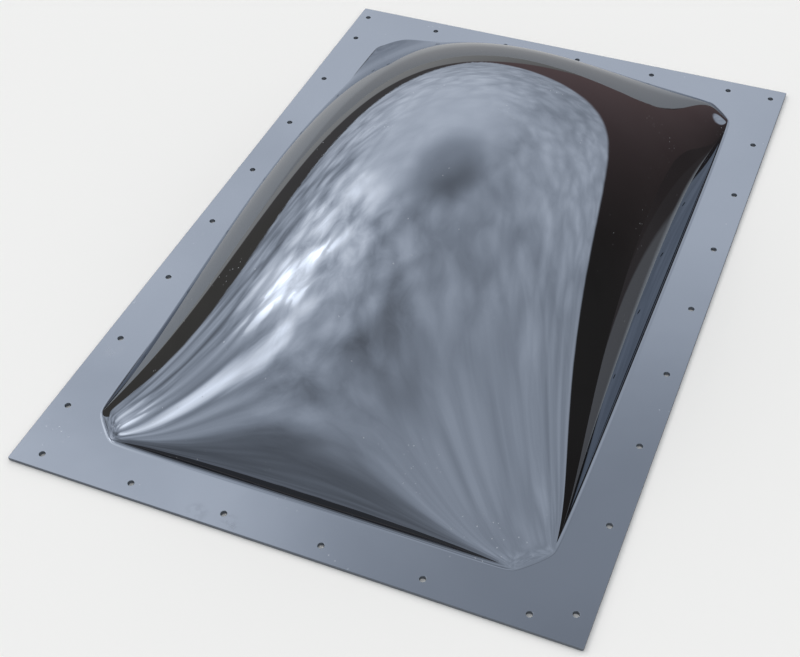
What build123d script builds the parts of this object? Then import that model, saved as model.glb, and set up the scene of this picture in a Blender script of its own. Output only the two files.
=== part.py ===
from build123d import *
import os
from math import pi, sin, sqrt

# Roof skylight: one tinted plastic sheet, heated and blown into a dome inside a flat flange.
# Millimetres, +Z up, +Y along the length, origin at the centre of the flange's underside.

# Flange
flange_width = 444.5
flange_length = 647.7
sheet_thickness = 3.0

# Flat land left between the flange's edge and the dome's foot
side_land = 40.75
end_land = 40.35

# Dome, measured where it leaves the flange's upper face
dome_width = flange_width - 2 * side_land
dome_length = flange_length - 2 * end_land
dome_height = 139.8
corner_leg = 22.0
foot_radius = 4.0

# The sheet thins as it stretches
wall_thickness = 2.4
crown_thickness = 2.0

# How full the blown form is: a small share stands up steeply from the flange
side_fullness_share = 0.676
end_fullness_share = 0.786
corner_fullness_share = 0.10

# The ends stand up more steeply towards the corners, and the form sags over each corner
end_gain_share = 0.52
corner_sag_share = 0.716

# How softly each wall starts at its foot
wall_ease_share = 0.01
corner_ease_share = 0.02

# Screw holes: each run is spaced evenly between its own two ends, which comes to one pitch all round
hole_diameter = 4.8
front_holes = 6
front_margin = 12.2
front_start = 22.3
front_end = 41.2
back_holes = 6
back_margin = 15.3
back_start = 10.2
back_end = 53.3
left_holes = 8
left_margin = 13.7
left_start = 59.7
left_end = 54.6
right_holes = 9
right_margin = 12.4
right_start = 23.2
right_end = 14.9

# Working allowances for the blanks that the sheet is cut from
seat_depth = 0.4
overrun = 5.0
skin_tolerance = 0.005
side_spans = 42
end_spans = 56


def stand_up(level, fullness_share, ease_share):
    """Grow like a power of the level, but through zero with a finite slope."""
    return level * (level**2 + ease_share**2) ** ((fullness_share - 1) / 2)


def blown_share(across, along, reach_share, lean_share):
    """Height of the blown form as a share of its crown, zero on all eight sides of its foot."""
    side = stand_up(1 - across**2, side_fullness_share, wall_ease_share)
    end = stand_up(1 - along**2, end_fullness_share - end_gain_share * across**2, wall_ease_share)
    corner = (1 - reach_share**2) * (1 - lean_share**2)
    sag = 1 - corner_sag_share * across**2 * along**2
    return side * end * sag * stand_up(corner, corner_fullness_share, corner_ease_share)


def sine_shares(spans):
    """Stations from the crown to the foot, crowded towards the foot, where the form bends most."""
    return [sin(pi / 2 * step / spans) for step in range(spans + 1)]


def quarter_block(width, length, bottom, top):
    """One quarter of a block about the middle, between two levels."""
    lowest = (Align.MIN, Align.MIN, Align.MIN)
    return Pos(0, 0, bottom) * Box(width / 2, length / 2, top - bottom, align=lowest)


def dome_quarter(width, length, height, leg, base, bottom):
    """Quarter solid below one blown skin that rises from the base level, down to the bottom."""
    half_width = width / 2
    half_length = length / 2
    reach = half_width + half_length - leg
    scale = height / blown_share(0, 0, 0, 0)
    rows = []
    for across in sine_shares(side_spans):
        x = half_width * across
        row = []
        for along in sine_shares(end_spans):
            y = half_length * along
            rise = scale * blown_share(across, along, (x + y) / reach, (x - y) / reach)
            row.append((x, y, base - seat_depth + rise))
        rows.append(row)
    skin = Face.make_surface_from_array_of_points(rows, tol=skin_tolerance, min_deg=3, max_deg=3)
    slab = extrude(skin, amount=height + overrun, dir=(0, 0, -1))
    return slab & quarter_block(flange_width, flange_length, bottom, base + height + overrun)


def foot_edges(body, level):
    """The dome's own outline in one face of the flange."""
    curves = body.edges().filter_by(GeomType.BSPLINE)
    return curves.filter_by_position(Axis.Z, level - seat_depth / 2, level + seat_depth / 2)


def sheet_quarter():
    """One quarter of the sheet, before its holes: flange and dome, hollow, rounded at the foot."""
    outside = dome_quarter(
        dome_width, dome_length, dome_height, corner_leg, sheet_thickness, sheet_thickness / 2
    )
    inside = dome_quarter(
        dome_width - 2 * wall_thickness,
        dome_length - 2 * wall_thickness,
        dome_height + sheet_thickness - crown_thickness,
        corner_leg - (2 - sqrt(2)) * wall_thickness,
        0,
        -overrun,
    )
    body = quarter_block(flange_width, flange_length, 0, sheet_thickness) + outside
    body = fillet(foot_edges(body, sheet_thickness), foot_radius)
    body = body - inside
    return fillet(foot_edges(body, 0), foot_radius + sheet_thickness)


def run_places(side, start, end, holes):
    """Hole places along one side of the flange, the same distance apart."""
    pitch = (side - start - end) / (holes - 1)
    return [start + pitch * step - side / 2 for step in range(holes)]


def screw_holes():
    """A drill for every screw hole, in the four runs round the flange."""
    front_y = front_margin - flange_length / 2
    back_y = flange_length / 2 - back_margin
    left_x = left_margin - flange_width / 2
    right_x = flange_width / 2 - right_margin
    front = [(x, front_y) for x in run_places(flange_width, front_start, front_end, front_holes)]
    back = [(x, back_y) for x in run_places(flange_width, back_start, back_end, back_holes)]
    left = [(left_x, y) for y in run_places(flange_length, left_start, left_end, left_holes)]
    right = [(right_x, y) for y in run_places(flange_length, right_start, right_end, right_holes)]
    drill = Cylinder(hole_diameter / 2, 2 * (sheet_thickness + overrun))
    return [Pos(x, y) * drill for x, y in front + back + left + right]


def whole_skin(quarter):
    """Mirror the quarter's own faces across both middle planes, leaving out its cut faces."""
    faces = [face for face in quarter.faces() if face.center().X > seat_depth]
    faces = [face for face in faces if face.center().Y > seat_depth]
    faces = faces + [mirror(face, about=Plane.YZ).face() for face in faces]
    return faces + [mirror(face, about=Plane.XZ).face() for face in faces]


def skylight_dome():
    """The whole sheet: four mirrored quarters joined into one solid, then drilled."""
    sheet = Solid(Shell(whole_skin(sheet_quarter()))).clean()
    return sheet - screw_holes()


os.makedirs("parts", exist_ok=True)
dome = skylight_dome()
dome.label = "skylight_dome"
export_step(dome, "parts/skylight_dome.step")
print("volume", round(dome.volume), "mm3, size", dome.bounding_box().size)
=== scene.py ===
import math

import bpy
import numpy as np
from mathutils import Matrix, Vector
from mathutils.geometry import delaunay_2d_cdt


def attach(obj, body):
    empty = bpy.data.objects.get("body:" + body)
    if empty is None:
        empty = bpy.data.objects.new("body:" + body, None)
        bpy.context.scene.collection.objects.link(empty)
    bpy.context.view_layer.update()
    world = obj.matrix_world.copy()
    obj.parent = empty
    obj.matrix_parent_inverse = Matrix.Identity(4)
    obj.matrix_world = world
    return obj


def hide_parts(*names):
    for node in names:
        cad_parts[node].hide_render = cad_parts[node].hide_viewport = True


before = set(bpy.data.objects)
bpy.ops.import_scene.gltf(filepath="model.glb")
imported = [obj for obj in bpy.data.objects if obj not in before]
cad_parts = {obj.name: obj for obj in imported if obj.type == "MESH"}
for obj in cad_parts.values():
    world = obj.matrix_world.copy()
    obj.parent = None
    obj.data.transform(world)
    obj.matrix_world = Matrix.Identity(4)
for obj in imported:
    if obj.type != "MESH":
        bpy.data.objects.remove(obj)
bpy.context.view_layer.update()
print("frame loaded", sorted(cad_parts))


class Flow:
    def __init__(self, tree, socket=None):
        self.tree = tree
        self.socket = socket

    def feed(self, socket, value):
        if isinstance(value, Flow):
            self.tree.links.new(value.socket, socket)
        else:
            socket.default_value = value

    def add(self, kind, settings, inputs, out=0):
        node = self.tree.nodes.new(kind)
        for name, value in settings.items():
            setattr(node, name, value)
        for name, value in inputs.items():
            self.feed(node.inputs[name], value)
        return Flow(self.tree, node.outputs[out] if len(node.outputs) else None)

    def math(self, operation, first, second=0.0):
        kinds = [part.socket.type for part in (first, second) if isinstance(part, Flow)]
        kind = "ShaderNodeVectorMath" if "VECTOR" in kinds else "ShaderNodeMath"
        return self.add(kind, {"operation": operation}, {0: first, 1: second})

    def __add__(self, other):
        return self.math("ADD", self, other)

    def __radd__(self, other):
        return self.math("ADD", other, self)

    def __sub__(self, other):
        return self.math("SUBTRACT", self, other)

    def __rsub__(self, other):
        return self.math("SUBTRACT", other, self)

    def __mul__(self, other):
        return self.math("MULTIPLY", self, other)

    def __rmul__(self, other):
        return self.math("MULTIPLY", other, self)

    def __truediv__(self, other):
        return self.math("DIVIDE", self, other)

    def __rtruediv__(self, other):
        return self.math("DIVIDE", other, self)

    def step(self, low, high, start=0.0, end=1.0, shape="SMOOTHSTEP"):
        inputs = {"Value": self, "From Min": low, "From Max": high, "To Min": start, "To Max": end}
        return self.add("ShaderNodeMapRange", {"interpolation_type": shape, "clamp": True}, inputs)

    def blend(self, first, second):
        settings = {"data_type": "RGBA", "blend_type": "MIX", "clamp_factor": True}
        return self.add("ShaderNodeMix", settings, {0: self, 6: first, 7: second}, 2)

    def noise(self, scale, detail, roughness, distortion=0.0):
        inputs = {"Vector": self, "Scale": scale, "Detail": detail, "Roughness": roughness}
        inputs["Distortion"] = distortion
        return self.add("ShaderNodeTexNoise", {"noise_dimensions": "3D"}, inputs)

    def axes(self):
        parts = self.add("ShaderNodeSeparateXYZ", {}, {0: self}).socket.node
        return [Flow(self.tree, parts.outputs[k]) for k in range(3)]


# the blown sheet, lengths in metres
blown = {
    "flangeHalf": (0.22225, 0.32385),
    "thick": 0.003,
    # for each skin: half the foot's size, clipped corner, rise, level it stands on,
    # radius at the foot, rings up the skin, points along a side, a corner and an end
    "outside": {
        "half": (0.1815, 0.2835), "leg": 0.022, "height": 0.1398, "base": 0.003,
        "radius": 0.004, "rings": 84, "foot": (62, 20, 44),
    },
    "inside": {
        "half": (0.1791, 0.2811), "leg": 0.02059, "height": 0.1408, "base": 0.0,
        "radius": 0.007, "rings": 44, "foot": (36, 12, 26),
    },
    "seat": 0.0004,
    "fullness": (0.676, 0.786, 0.10),
    "endGain": 0.52,
    "cornerSag": 0.716,
    "ease": (0.01, 0.01, 0.02),
    "footSteps": 8,
    "searchFrom": 0.5,
    "searchSteps": 46,
    "weld": 1e-9,
    "edgeRadius": 0.00045,
    "cornerRadius": 0.0012,
    "cornerSteps": 6,
    "roundSteps": 3,
    "holeRadius": 0.0024,
    "holeLip": 0.0003,
    "holeSides": 40,
    "pitch": 0.0762,
    # runs of screw holes: first hole, direction of the run, how many
    "runs": {
        "front": ((-0.19995, -0.31165), (1, 0), 6),
        "back": ((-0.21205, 0.30855), (1, 0), 6),
        "left": ((-0.20855, -0.26415), (0, 1), 8),
        "right": ((0.20985, -0.30065), (0, 1), 9),
    },
}


def standUp(level, fullness, ease):
    return level * (level * level + ease * ease) ** ((fullness - 1) / 2)


def skinHeight(x, y, skin):
    halfX, halfY = skin["half"]
    reach = halfX + halfY - skin["leg"]
    f, e = blown["fullness"], blown["ease"]
    corner = (1 - ((x + y) / reach) ** 2) * (1 - ((x - y) / reach) ** 2)
    across, along = (x / halfX) ** 2, (y / halfY) ** 2
    share = standUp(1 - across, f[0], e[0]) * standUp(1 - along, f[1] - blown["endGain"] * across, e[1])
    share = share * (1 - blown["cornerSag"] * across * along) * standUp(corner, f[2], e[2])
    crown = standUp(1.0, f[0], e[0]) * standUp(1.0, f[1], e[1]) * standUp(1.0, f[2], e[2])
    return skin["base"] - blown["seat"] + skin["height"] * share / crown


def skinNormal(x, y, skin, delta=2e-6):
    slopeX = (skinHeight(x + delta, y, skin) - skinHeight(x - delta, y, skin)) / (2 * delta)
    slopeY = (skinHeight(x, y + delta, skin) - skinHeight(x, y - delta, skin)) / (2 * delta)
    normal = np.stack([-slopeX, -slopeY, np.ones_like(slopeX)], -1)
    return normal / np.linalg.norm(normal, axis=-1, keepdims=True)


def footLoop(skin):
    halfX, halfY = skin["half"]
    leg = skin["leg"]
    along, clipped, across = (np.linspace(0, math.pi / 2, count, endpoint=False) for count in skin["foot"])
    # points crowd towards both ends of the clipped corner
    side = [(halfX, (halfY - leg) * s) for s in np.sin(along)]
    cut = [(halfX - leg * s, halfY - leg + leg * s) for s in (1 - np.cos(2 * clipped)) / 2]
    end = [((halfX - leg) * np.cos(turn), halfY) for turn in across]
    quarter = np.array(side + cut + end)
    last = np.array([(0.0, halfY)])
    first = np.concatenate([quarter, last])
    second = first[::-1] * (-1, 1)
    half = np.concatenate([first[:-1], second[:-1]])
    return np.concatenate([half, -half])


class Sheet:
    def __init__(self):
        self.points = []
        self.normals = []
        self.faces = []
        self.count = 0

    def loop(self, points, normals):
        self.points.append(np.asarray(points, float))
        self.normals.append(np.broadcast_to(np.asarray(normals, float), np.shape(points)))
        start = self.count
        self.count += len(points)
        return np.arange(start, self.count)

    def skirt(self, low, high):
        for k in range(len(low)):
            j = (k + 1) % len(low)
            self.faces.append((low[k], low[j], high[j], high[k]))

    def fan(self, ring, tip):
        for k in range(len(ring)):
            self.faces.append((ring[k], ring[(k + 1) % len(ring)], tip))


# how far in a ball of the foot radius touches both the skin and the flange
def rollFoot(skin, foot):
    radius, level = skin["radius"], skin["base"]
    inner, outer = np.full(len(foot), blown["searchFrom"]), np.full(len(foot), 1.0)
    for _ in range(blown["searchSteps"]):
        middle = (inner + outer) / 2
        spot = foot * middle[:, None]
        lift = skinHeight(*spot.T, skin) + radius * skinNormal(*spot.T, skin)[:, 2]
        low = lift < level + radius
        outer = np.where(low, middle, outer)
        inner = np.where(low, inner, middle)
    return (inner + outer) / 2


def buildSkin(sheet, skin, facing):
    foot, radius, rings = footLoop(skin), skin["radius"], skin["rings"]
    touch = rollFoot(skin, foot)
    spot = foot * touch[:, None]
    normal = skinNormal(*spot.T, skin)
    centre = np.column_stack([spot, skinHeight(*spot.T, skin)]) + radius * normal
    flat = normal[:, :2] / np.linalg.norm(normal[:, :2], axis=1, keepdims=True)
    tilt = np.arccos(normal[:, 2])
    loops = []
    for share in np.linspace(0, 1, blown["footSteps"] + 1):
        turn = (share * tilt)[:, None]
        arm = np.column_stack([np.sin(turn) * flat, np.cos(turn)])
        loops.append(sheet.loop(centre - radius * arm, facing * arm))
    for k in range(1, rings):
        spot = foot * (touch * math.cos(math.pi / 2 * k / rings))[:, None]
        height = skinHeight(*spot.T, skin)
        loops.append(sheet.loop(np.column_stack([spot, height]), facing * skinNormal(*spot.T, skin)))
    crown = sheet.loop([(0, 0, float(skinHeight(0.0, 0.0, skin)))], (0, 0, facing))
    for low, high in zip(loops, loops[1:]):
        sheet.skirt(*((low, high) if facing > 0 else (high, low)))
    sheet.fan(loops[-1] if facing > 0 else loops[-1][::-1], crown[0])
    return loops[0]


def outline(inset):
    halfX, halfY = (side - inset for side in blown["flangeHalf"])
    radius = blown["cornerRadius"] - inset
    points, arms = [], []
    for k, (signX, signY) in enumerate(((1, 1), (-1, 1), (-1, -1), (1, -1))):
        for turn in np.linspace(0, math.pi / 2, blown["cornerSteps"] + 1) + k * math.pi / 2:
            arm = (math.cos(turn), math.sin(turn))
            centre = (signX * (halfX - radius), signY * (halfY - radius))
            points.append((centre[0] + radius * arm[0], centre[1] + radius * arm[1]))
            arms.append(arm)
    return np.array(points), np.array(arms)


def flatFace(sheet, rims, facing):
    edges, owner = [], []
    for number, rim in enumerate(rims):
        first = len(owner)
        edges += [(first + k, first + (k + 1) % len(rim)) for k in range(len(rim))]
        owner += [(number, index) for index in rim]
    allPoints = np.concatenate(sheet.points)
    spots = [Vector(allPoints[index][:2]) for _, index in owner]
    result = delaunay_2d_cdt(spots, edges, [], 0, blown["weld"])
    source = [ids[0] for ids in result[3]]
    for triangle in result[2]:
        corners = [owner[source[v]] for v in triangle]
        if len({number for number, _ in corners}) == 1 and corners[0][0] > 0:
            continue  # inside the dome's foot or a hole
        face = tuple(index for _, index in corners)
        sheet.faces.append(face if facing > 0 else face[::-1])


def roundEdge(sheet, quarter):
    edge, loops = blown["edgeRadius"], []
    for middle, turns in ((edge, -quarter[::-1]), (blown["thick"] - edge, quarter)):
        for turn in turns:
            points, arms = outline(edge - edge * math.cos(turn))
            height = np.full((len(points), 1), middle + edge * math.sin(turn))
            normal = np.column_stack([arms * math.cos(turn), np.full(len(arms), math.sin(turn))])
            loops.append(sheet.loop(np.column_stack([points, height]), normal))
    for low, high in zip(loops, loops[1:]):
        sheet.skirt(low, high)
    return loops[-1], loops[0]


def drillHole(sheet, quarter, place):
    around = np.linspace(0, 2 * math.pi, blown["holeSides"], endpoint=False)
    ring = np.column_stack([np.cos(around), np.sin(around)])
    lip, bore, thick = blown["holeLip"], blown["holeRadius"], blown["thick"]

    def circle(radius, height):
        return np.column_stack([np.array(place) + ring * radius, np.full(len(ring), height)])

    loops = []
    for turn in quarter[::-1]:
        normal = np.column_stack([-ring * math.cos(turn), np.full(len(ring), math.sin(turn))])
        rim = circle(bore + lip - lip * math.cos(turn), thick - lip + lip * math.sin(turn))
        loops.append(sheet.loop(rim, normal))
    loops.append(sheet.loop(circle(bore, 0.0), np.column_stack([-ring, np.zeros(len(ring))])))
    for high, low in zip(loops, loops[1:]):
        sheet.skirt(high, low)
    return loops[0], sheet.loop(circle(bore, 0.0), (0, 0, -1))


def buildSheet():
    sheet = Sheet()
    quarter = np.radians(np.linspace(0, 90, blown["roundSteps"] + 1))
    topFoot = buildSkin(sheet, blown["outside"], 1)
    underFoot = buildSkin(sheet, blown["inside"], -1)
    topEdge, underEdge = roundEdge(sheet, quarter)
    topRims, underRims = [topEdge, topFoot], [underEdge, underFoot]
    for (x, y), (stepX, stepY), count in blown["runs"].values():
        for k in range(count):
            away = blown["pitch"] * k
            topRim, underRim = drillHole(sheet, quarter, (x + stepX * away, y + stepY * away))
            topRims.append(topRim)
            underRims.append(underRim)
    flatFace(sheet, topRims, 1)
    flatFace(sheet, underRims, -1)

    mesh = bpy.data.meshes.new("blownSheet")
    mesh.from_pydata(np.concatenate(sheet.points).tolist(), [], [tuple(map(int, f)) for f in sheet.faces])
    mesh.update()
    mesh.polygons.foreach_set("use_smooth", [True] * len(mesh.polygons))
    mesh.normals_split_custom_set_from_vertices(np.concatenate(sheet.normals).tolist())
    piece = bpy.data.objects.new("blownSheet", mesh)
    bpy.context.scene.collection.objects.link(piece)
    triangles = sum(len(face.vertices) - 2 for face in mesh.polygons)
    print("sheet mesh", len(mesh.vertices), "points", triangles, "triangles")
    return piece


# smoke-tinted plastic: nearly black in the mass, mirror gloss on both faces
smoke = {
    "dark": (0.006, 0.006, 0.007, 1),
    "pale": (0.013, 0.013, 0.014, 1),
    "dust": (0.42, 0.42, 0.41, 1),
    "smear": (0.030, 0.027, 0.022, 1),
    "index": 3.4,
    "sheen": (0.76, 0.86, 1.0, 1),
    "gloss": 0.02,
    "hazeRough": 0.04,
    "dustRough": 0.3,
    "smearRough": 0.3,
    "dustShows": 0.6,
    "smearShows": 0.8,
    "dustScale": 210.0,
    "dustSize": (0.16, 0.06),
    # noise: scale, detail, roughness, distortion; then the range that shows
    "tintNoise": ((9.0, 4.0, 0.55), (0.35, 0.65)),
    "dustNoise": ((23.0, 2.0, 0.5), (0.56, 0.70)),
    "smearNoise": ((120.0, 3.0, 0.6), (0.35, 0.65)),
    "hazeNoise": ((14.0, 3.0, 0.6, 0.4), (0.60, 0.80)),
    # waves in the sheet: scale, detail, roughness; then height
    "waves": (((30.0, 1.0, 0.4), 0.6), ((95.0, 1.0, 0.4), 0.08)),
    "waveDepth": 0.00006,
    # smears left on the flange: place, reach
    "smears": ((-0.2072, -0.2014, 0.013), (-0.0661, -0.3170, 0.012), (-0.0400, -0.3180, 0.011)),
    "smearCore": 0.2,
}


def smokeMaterial():
    material = bpy.data.materials.new("smokeSheet")
    material.use_nodes = True
    material.node_tree.nodes.clear()
    flow = Flow(material.node_tree)
    spot = flow.add("ShaderNodeTexCoord", {}, {}, "Object")

    def patches(name):
        noise, shows = smoke[name]
        return spot.noise(*noise).step(*shows)

    grain = flow.add("ShaderNodeTexVoronoi", {"feature": "F1"}, {"Vector": spot, "Scale": smoke["dustScale"]})
    dust = grain.step(*smoke["dustSize"]) * patches("dustNoise")
    marks = []
    for x, y, reach in smoke["smears"]:
        inputs = {0: spot, 1: (x, y, blown["thick"])}
        away = flow.add("ShaderNodeVectorMath", {"operation": "DISTANCE"}, inputs, "Value")
        marks.append(away.step(reach, reach * smoke["smearCore"]))
    smear = sum(marks) * patches("smearNoise")

    colour = patches("tintNoise").blend(smoke["dark"], smoke["pale"])
    colour = (dust * smoke["dustShows"]).blend(colour, smoke["dust"])
    colour = (smear * smoke["smearShows"]).blend(colour, smoke["smear"])
    rough = patches("hazeNoise") * smoke["hazeRough"] + smoke["gloss"]
    rough = rough + dust * smoke["dustRough"] + smear * smoke["smearRough"]
    wave = sum(spot.noise(*noise) * height for noise, height in smoke["waves"])
    bump = flow.add("ShaderNodeBump", {}, {"Strength": 1.0, "Distance": smoke["waveDepth"], "Height": wave})

    inputs = {"Base Color": colour, "Roughness": rough, "Metallic": 0.0, "Normal": bump}
    inputs.update({"IOR": smoke["index"], "Specular Tint": smoke["sheen"]})
    body = flow.add("ShaderNodeBsdfPrincipled", {"distribution": "MULTI_GGX"}, inputs)
    flow.add("ShaderNodeOutputMaterial", {}, {"Surface": body})
    return material


sheetPiece = buildSheet()
sheetPiece.data.materials.append(smokeMaterial())
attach(sheetPiece, "root")
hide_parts("skylight_dome")
print("sheet finished")


# pale floor; mirrored in the gloss it keeps a share of that colour, less on the right, behind and in front
ground = {
    "low": (-0.95, -0.62),
    "high": (0.54, 1.0),
    "level": -0.0004,
    "seen": (0.94, 0.925, 0.865, 1),
    "dim": (0.070, 0.051, 0.043, 1),
    "share": 0.68,
    # where the mirrored share falls: from, to, by how much
    "rightFall": (0.226, 0.25, 0.48),
    "farRightFall": (0.16, 0.20, 0.18),
    "backFall": (0.33, 0.45, 0.16),
    "frontFall": (-0.328, -0.352, 0.62),
}


def buildFloor():
    mesh = bpy.data.meshes.new("floor")
    (left, front), (right, back) = ground["low"], ground["high"]
    corners = [(left, front), (right, front), (right, back), (left, back)]
    mesh.from_pydata([(x, y, ground["level"]) for x, y in corners], [], [(0, 1, 2, 3)])
    piece = bpy.data.objects.new("floor", mesh)
    bpy.context.scene.collection.objects.link(piece)
    material = bpy.data.materials.new("floor")
    material.use_nodes = True
    material.node_tree.nodes.clear()
    flow = Flow(material.node_tree)
    x, y, _ = flow.add("ShaderNodeTexCoord", {}, {}, "Object").axes()

    def fall(axis, name):
        start, end, amount = ground[name]
        return axis.step(start, end, 0.0, amount)

    onRight = x.step(*ground["rightFall"][:2])
    share = ground["share"] - fall(x, "rightFall") - onRight * fall(y, "farRightFall")
    share = share - fall(y, "backFall") - fall(y, "frontFall")
    seen = flow.add("ShaderNodeLightPath", {}, {}, "Is Camera Ray")
    mirrored = flow.add("ShaderNodeLightPath", {}, {}, "Is Glossy Ray")
    through = flow.add("ShaderNodeLightPath", {}, {}, "Is Transmission Ray")
    shown = flow.math("MAXIMUM", seen, mirrored * flow.math("MAXIMUM", share, 0.0))
    shown = flow.math("MAXIMUM", shown, through)
    colour = shown.blend(ground["dim"], ground["seen"])
    body = flow.add("ShaderNodeBsdfDiffuse", {}, {"Color": colour})
    flow.add("ShaderNodeOutputMaterial", {}, {"Surface": body})
    mesh.materials.append(material)


buildFloor()
print("floor finished")


# soft studio dome with mottled light, and a low dark screen round it, highest on the right
studio = {
    "base": 0.82,
    "gain": 1.04,
    "least": 0.06,
    "cool": (0.95, 0.985, 1.07, 1),
    "warm": (1.01, 0.99, 1.0, 1),
    "warmFrom": (0.7, 2.1),
    "back": (0.87, 0.87, 0.87, 1),
    # soft lights and shades: azimuth from the back towards the right, elevation,
    # core and reach, all in degrees, then strength
    "lights": {
        "keyLeft": (-82, 46, 6, 26, 1.0),
        "keyCore": (-90, 42, 2, 8, 1.5),
        "cornerGlow": (-115, 42, 2, 8, 1.2),
        "lowLeft": (-115, 5, 5, 20, 0.9),
        "backGlow": (-30, 35, 10, 40, 0.6),
        "backRight": (30, 28, 5, 25, 0.2),
        "leftShade": (-103, 33, 3, 12, -0.5),
        "crownShade": (-12, 58, 3, 18, -0.6),
        "frontShade": (-165, 65, 5, 15, -0.25),
        "lowFrontShade": (-155, 20, 8, 24, -0.5),
    },
}

# mottling of the dome: noise scale, detail, roughness, distortion, and how strongly each shows
mottle = {
    "depth": (0.3, 1.3),
    "stirScale": 4.0,
    "stirBy": (0.25, 0.25, 0),
    "broadPlace": (3.1, 7.4, 0.0),
    "broad": (3.0, 2.0, 0.5),
    "wisps": (8.0, 4.0, 0.6, 0.7),
    "noiseRange": (0.3, 0.7, -1.0, 1.0, "LINEAR"),
    "puffScale": 6.5,
    "puffSoft": 0.6,
    "puffRange": (0.12, 0.62, 1.0, -1.0, "LINEAR"),
    "shows": {"broad": 0.15, "puffs": 0.18, "wisps": 0.14},
    "plain": 0.65,
    "calm": (-25, 45, 14, 34, 0.8),
    "lively": (-88, 44, 10, 58, 1.1),
    "sparkle": (-90, 43, 3, 12, 1.5),
}

# screen and what lies below it, all angles in degrees
screen = {
    "near": (0.22, 0.14, 0.13, 1),
    "far": (0.03, 0.025, 0.02, 1),
    "farFrom": (-12, 55),
    "shade": (0.13, 0.115, 0.105, 1),
    "shadeFrom": (-28, -12),
    "olive": (0.12, 0.105, 0.085, 1),
    "oliveFrom": (-54, -66),
    "rightFacing": 73,
    "rightHeight": 15.9,
    "leftSlope": (-85, -20),
    "leftStart": (-86, -80),
    "leftHeight": 16.5,
    "frontLeft": (-138, -150),
    "frontRight": (112, 135),
    "frontHeight": 10.5,
    "frontDrop": 1.5,
    "raggedNoise": (26.0, 2.0, 0.7),
    "raggedFrom": (-8, -22),
    "raggedHeight": 3.0,
    "soft": 0.5,
    "groundLeft": (0.60, 0.565, 0.52, 1),
    "groundRight": (0.20, 0.19, 0.17, 1),
    "groundRightFrom": (-45, 10),
    "groundBright": (1.2, 1.2, 1.2, 1),
    "groundBrightFrom": (-84, -94),
    "groundFront": (0.07, 0.07, 0.072, 1),
    "footFrom": (-20, 12),
    "footHeights": (-1.0, -12),
    "footRiseFrom": (34, 58),
    "footRise": 5,
}


def heading(azimuth, elevation):
    a, e = math.radians(azimuth), math.radians(elevation)
    return (math.sin(a) * math.cos(e), math.cos(a) * math.cos(e), math.sin(e))


def lobe(gaze, azimuth, elevation, core, reach, amount):
    inputs = {0: gaze, 1: heading(azimuth, elevation)}
    toward = gaze.add("ShaderNodeVectorMath", {"operation": "DOT_PRODUCT"}, inputs, "Value")
    return toward.step(math.cos(math.radians(reach)), math.cos(math.radians(core)), 0.0, amount)


# patches grow smaller towards the horizon
def mottledLayer(gaze):
    x, y, z = gaze.axes()
    depth = z.step(0.0, 1.0, *mottle["depth"], "LINEAR")
    return gaze.add("ShaderNodeCombineXYZ", {}, {0: x / depth, 1: y / depth, 2: 0.0})


def domeLight(gaze, layer):
    inputs = {"Vector": layer, "Scale": mottle["stirScale"], "Detail": 1.0}
    stir = gaze.add("ShaderNodeTexNoise", {}, inputs, "Color")
    inputs = {0: stir, 1: mottle["stirBy"], 2: layer}
    stirred = gaze.add("ShaderNodeVectorMath", {"operation": "MULTIPLY_ADD"}, inputs)
    broad = (layer + mottle["broadPlace"]).noise(*mottle["broad"]).step(*mottle["noiseRange"])
    wisps = layer.noise(*mottle["wisps"]).step(*mottle["noiseRange"])
    settings = {"feature": "SMOOTH_F1", "voronoi_dimensions": "2D"}
    inputs = {"Vector": stirred, "Detail": 0.0, "Scale": mottle["puffScale"]}
    inputs["Smoothness"] = mottle["puffSoft"]
    puffs = gaze.add("ShaderNodeTexVoronoi", settings, inputs).step(*mottle["puffRange"])
    shows = mottle["shows"]
    uneven = broad * shows["broad"] + puffs * shows["puffs"] + wisps * shows["wisps"]
    uneven = uneven * (1.0 - lobe(gaze, *mottle["calm"])) * (mottle["plain"] + lobe(gaze, *mottle["lively"]))

    level = studio["base"]
    for place in studio["lights"].values():
        level = level + lobe(gaze, *place)
    level = gaze.math("MAXIMUM", level, studio["least"]) * studio["gain"] * (1.0 + uneven)
    level = level + (puffs + wisps).step(0.0, 1.0) * lobe(gaze, *mottle["sparkle"])
    tone = level.step(*studio["warmFrom"], 0.0, 1.0, "LINEAR").blend(studio["cool"], studio["warm"])
    return gaze.add("ShaderNodeVectorMath", {"operation": "SCALE"}, {0: tone, "Scale": level})


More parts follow.
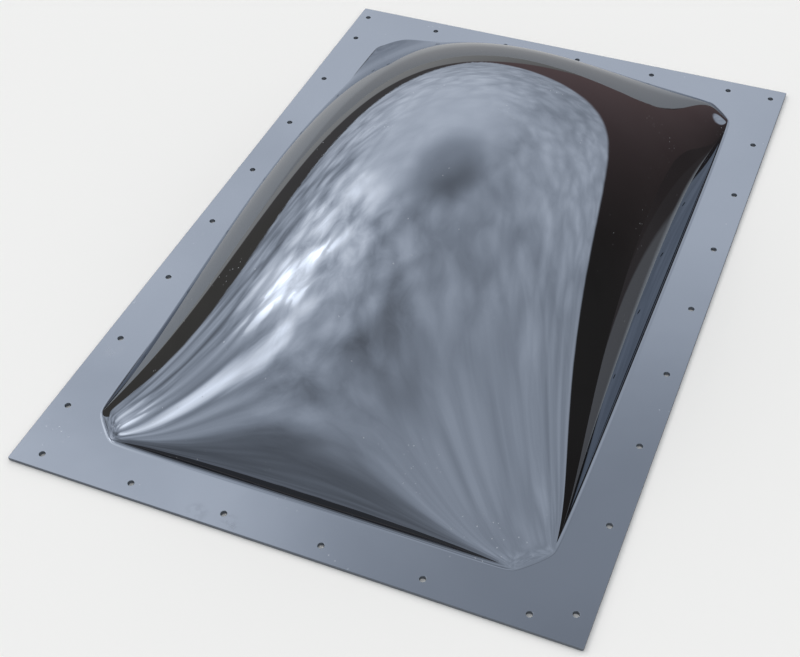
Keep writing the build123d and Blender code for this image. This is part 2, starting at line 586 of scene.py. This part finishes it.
def lowScreen(gaze, layer, light):
    x, y, z = gaze.axes()
    rad = math.radians
    turn = gaze.math("ARCTAN2", x, y)
    rise = gaze.math("ARCSINE", z)

    def sweep(name, start=0.0, end=1.0, shape="SMOOTHSTEP"):
        return turn.step(*map(rad, screen[name]), start, end, shape)

    def softStep(height):
        return height.step(-rad(screen["soft"]), rad(screen["soft"]))

    right = gaze.math("COSINE", turn - rad(screen["rightFacing"])) * rad(screen["rightHeight"])
    left = sweep("leftSlope", rad(screen["leftHeight"]), 0.0, "LINEAR") * sweep("leftStart")
    front = sweep("frontLeft") + sweep("frontRight")
    top = gaze.math("MAXIMUM", right, left)
    top = gaze.math("MAXIMUM", top, front * rad(screen["frontHeight"]) - rad(screen["frontDrop"]))
    ragged = layer.noise(*screen["raggedNoise"]) - 0.5  # the noise lies about a half
    ragged = ragged * sweep("raggedFrom", 0.0, rad(screen["raggedHeight"]))
    dark = sweep("farFrom").blend(screen["near"], screen["far"])
    dark = sweep("shadeFrom").blend(screen["shade"], dark)
    dark = sweep("oliveFrom").blend(dark, screen["olive"])

    foot = sweep("footFrom", *map(rad, screen["footHeights"]))
    foot = foot + sweep("footRiseFrom", 0.0, rad(screen["footRise"]))
    below = sweep("groundRightFrom").blend(screen["groundLeft"], screen["groundRight"])
    below = sweep("groundBrightFrom").blend(below, screen["groundBright"])
    below = front.blend(below, screen["groundFront"])
    dark = gaze.math("MAXIMUM", softStep(rise - foot) - front, 0.0).blend(below, dark)
    return softStep(rise - top - ragged).blend(dark, light)


def buildStudio():
    world = bpy.data.worlds.new("studio")
    bpy.context.scene.world = world
    world.use_nodes = True
    world.node_tree.nodes.clear()
    flow = Flow(world.node_tree)
    gaze = flow.add("ShaderNodeTexCoord", {}, {}, "Generated")
    layer = mottledLayer(gaze)
    glow = lowScreen(gaze, layer, domeLight(gaze, layer))
    seen = flow.add("ShaderNodeLightPath", {}, {}, "Is Camera Ray")
    colour = seen.blend(glow, studio["back"])
    shine = flow.add("ShaderNodeBackground", {}, {"Color": colour, "Strength": 1.0})
    flow.add("ShaderNodeOutputWorld", {}, {"Surface": shine})


buildStudio()
print("studio finished")


# camera at the photograph's own place, aim and lens
lens = {
    "sensor": 36.0,
    "clip": (0.02, 50.0),
    "place": (0.3171, -0.7633, 0.7545),
    "right": (0.9276, 0.3728, -0.0238),
    "up": (-0.2510, 0.6691, 0.6995),
    "focal": 58.976,
    "shift": (-0.04804, -0.00164),
}


def buildCamera():
    data = bpy.data.cameras.new("camera")
    data.sensor_width = lens["sensor"]
    data.lens = lens["focal"]
    data.shift_x, data.shift_y = lens["shift"]
    data.clip_start, data.clip_end = lens["clip"]
    camera = bpy.data.objects.new("camera", data)
    bpy.context.scene.collection.objects.link(camera)
    right, up = Vector(lens["right"]).normalized(), Vector(lens["up"])
    back = right.cross(up).normalized()
    up = back.cross(right)
    turn = Matrix((right, up, back)).transposed().to_4x4()
    camera.matrix_world = Matrix.Translation(lens["place"]) @ turn
    bpy.context.scene.camera = camera


buildCamera()
print("camera set")
bpy.context.scene.view_settings.view_transform = "Standard"
bpy.context.view_layer.update()

print("scene finished")
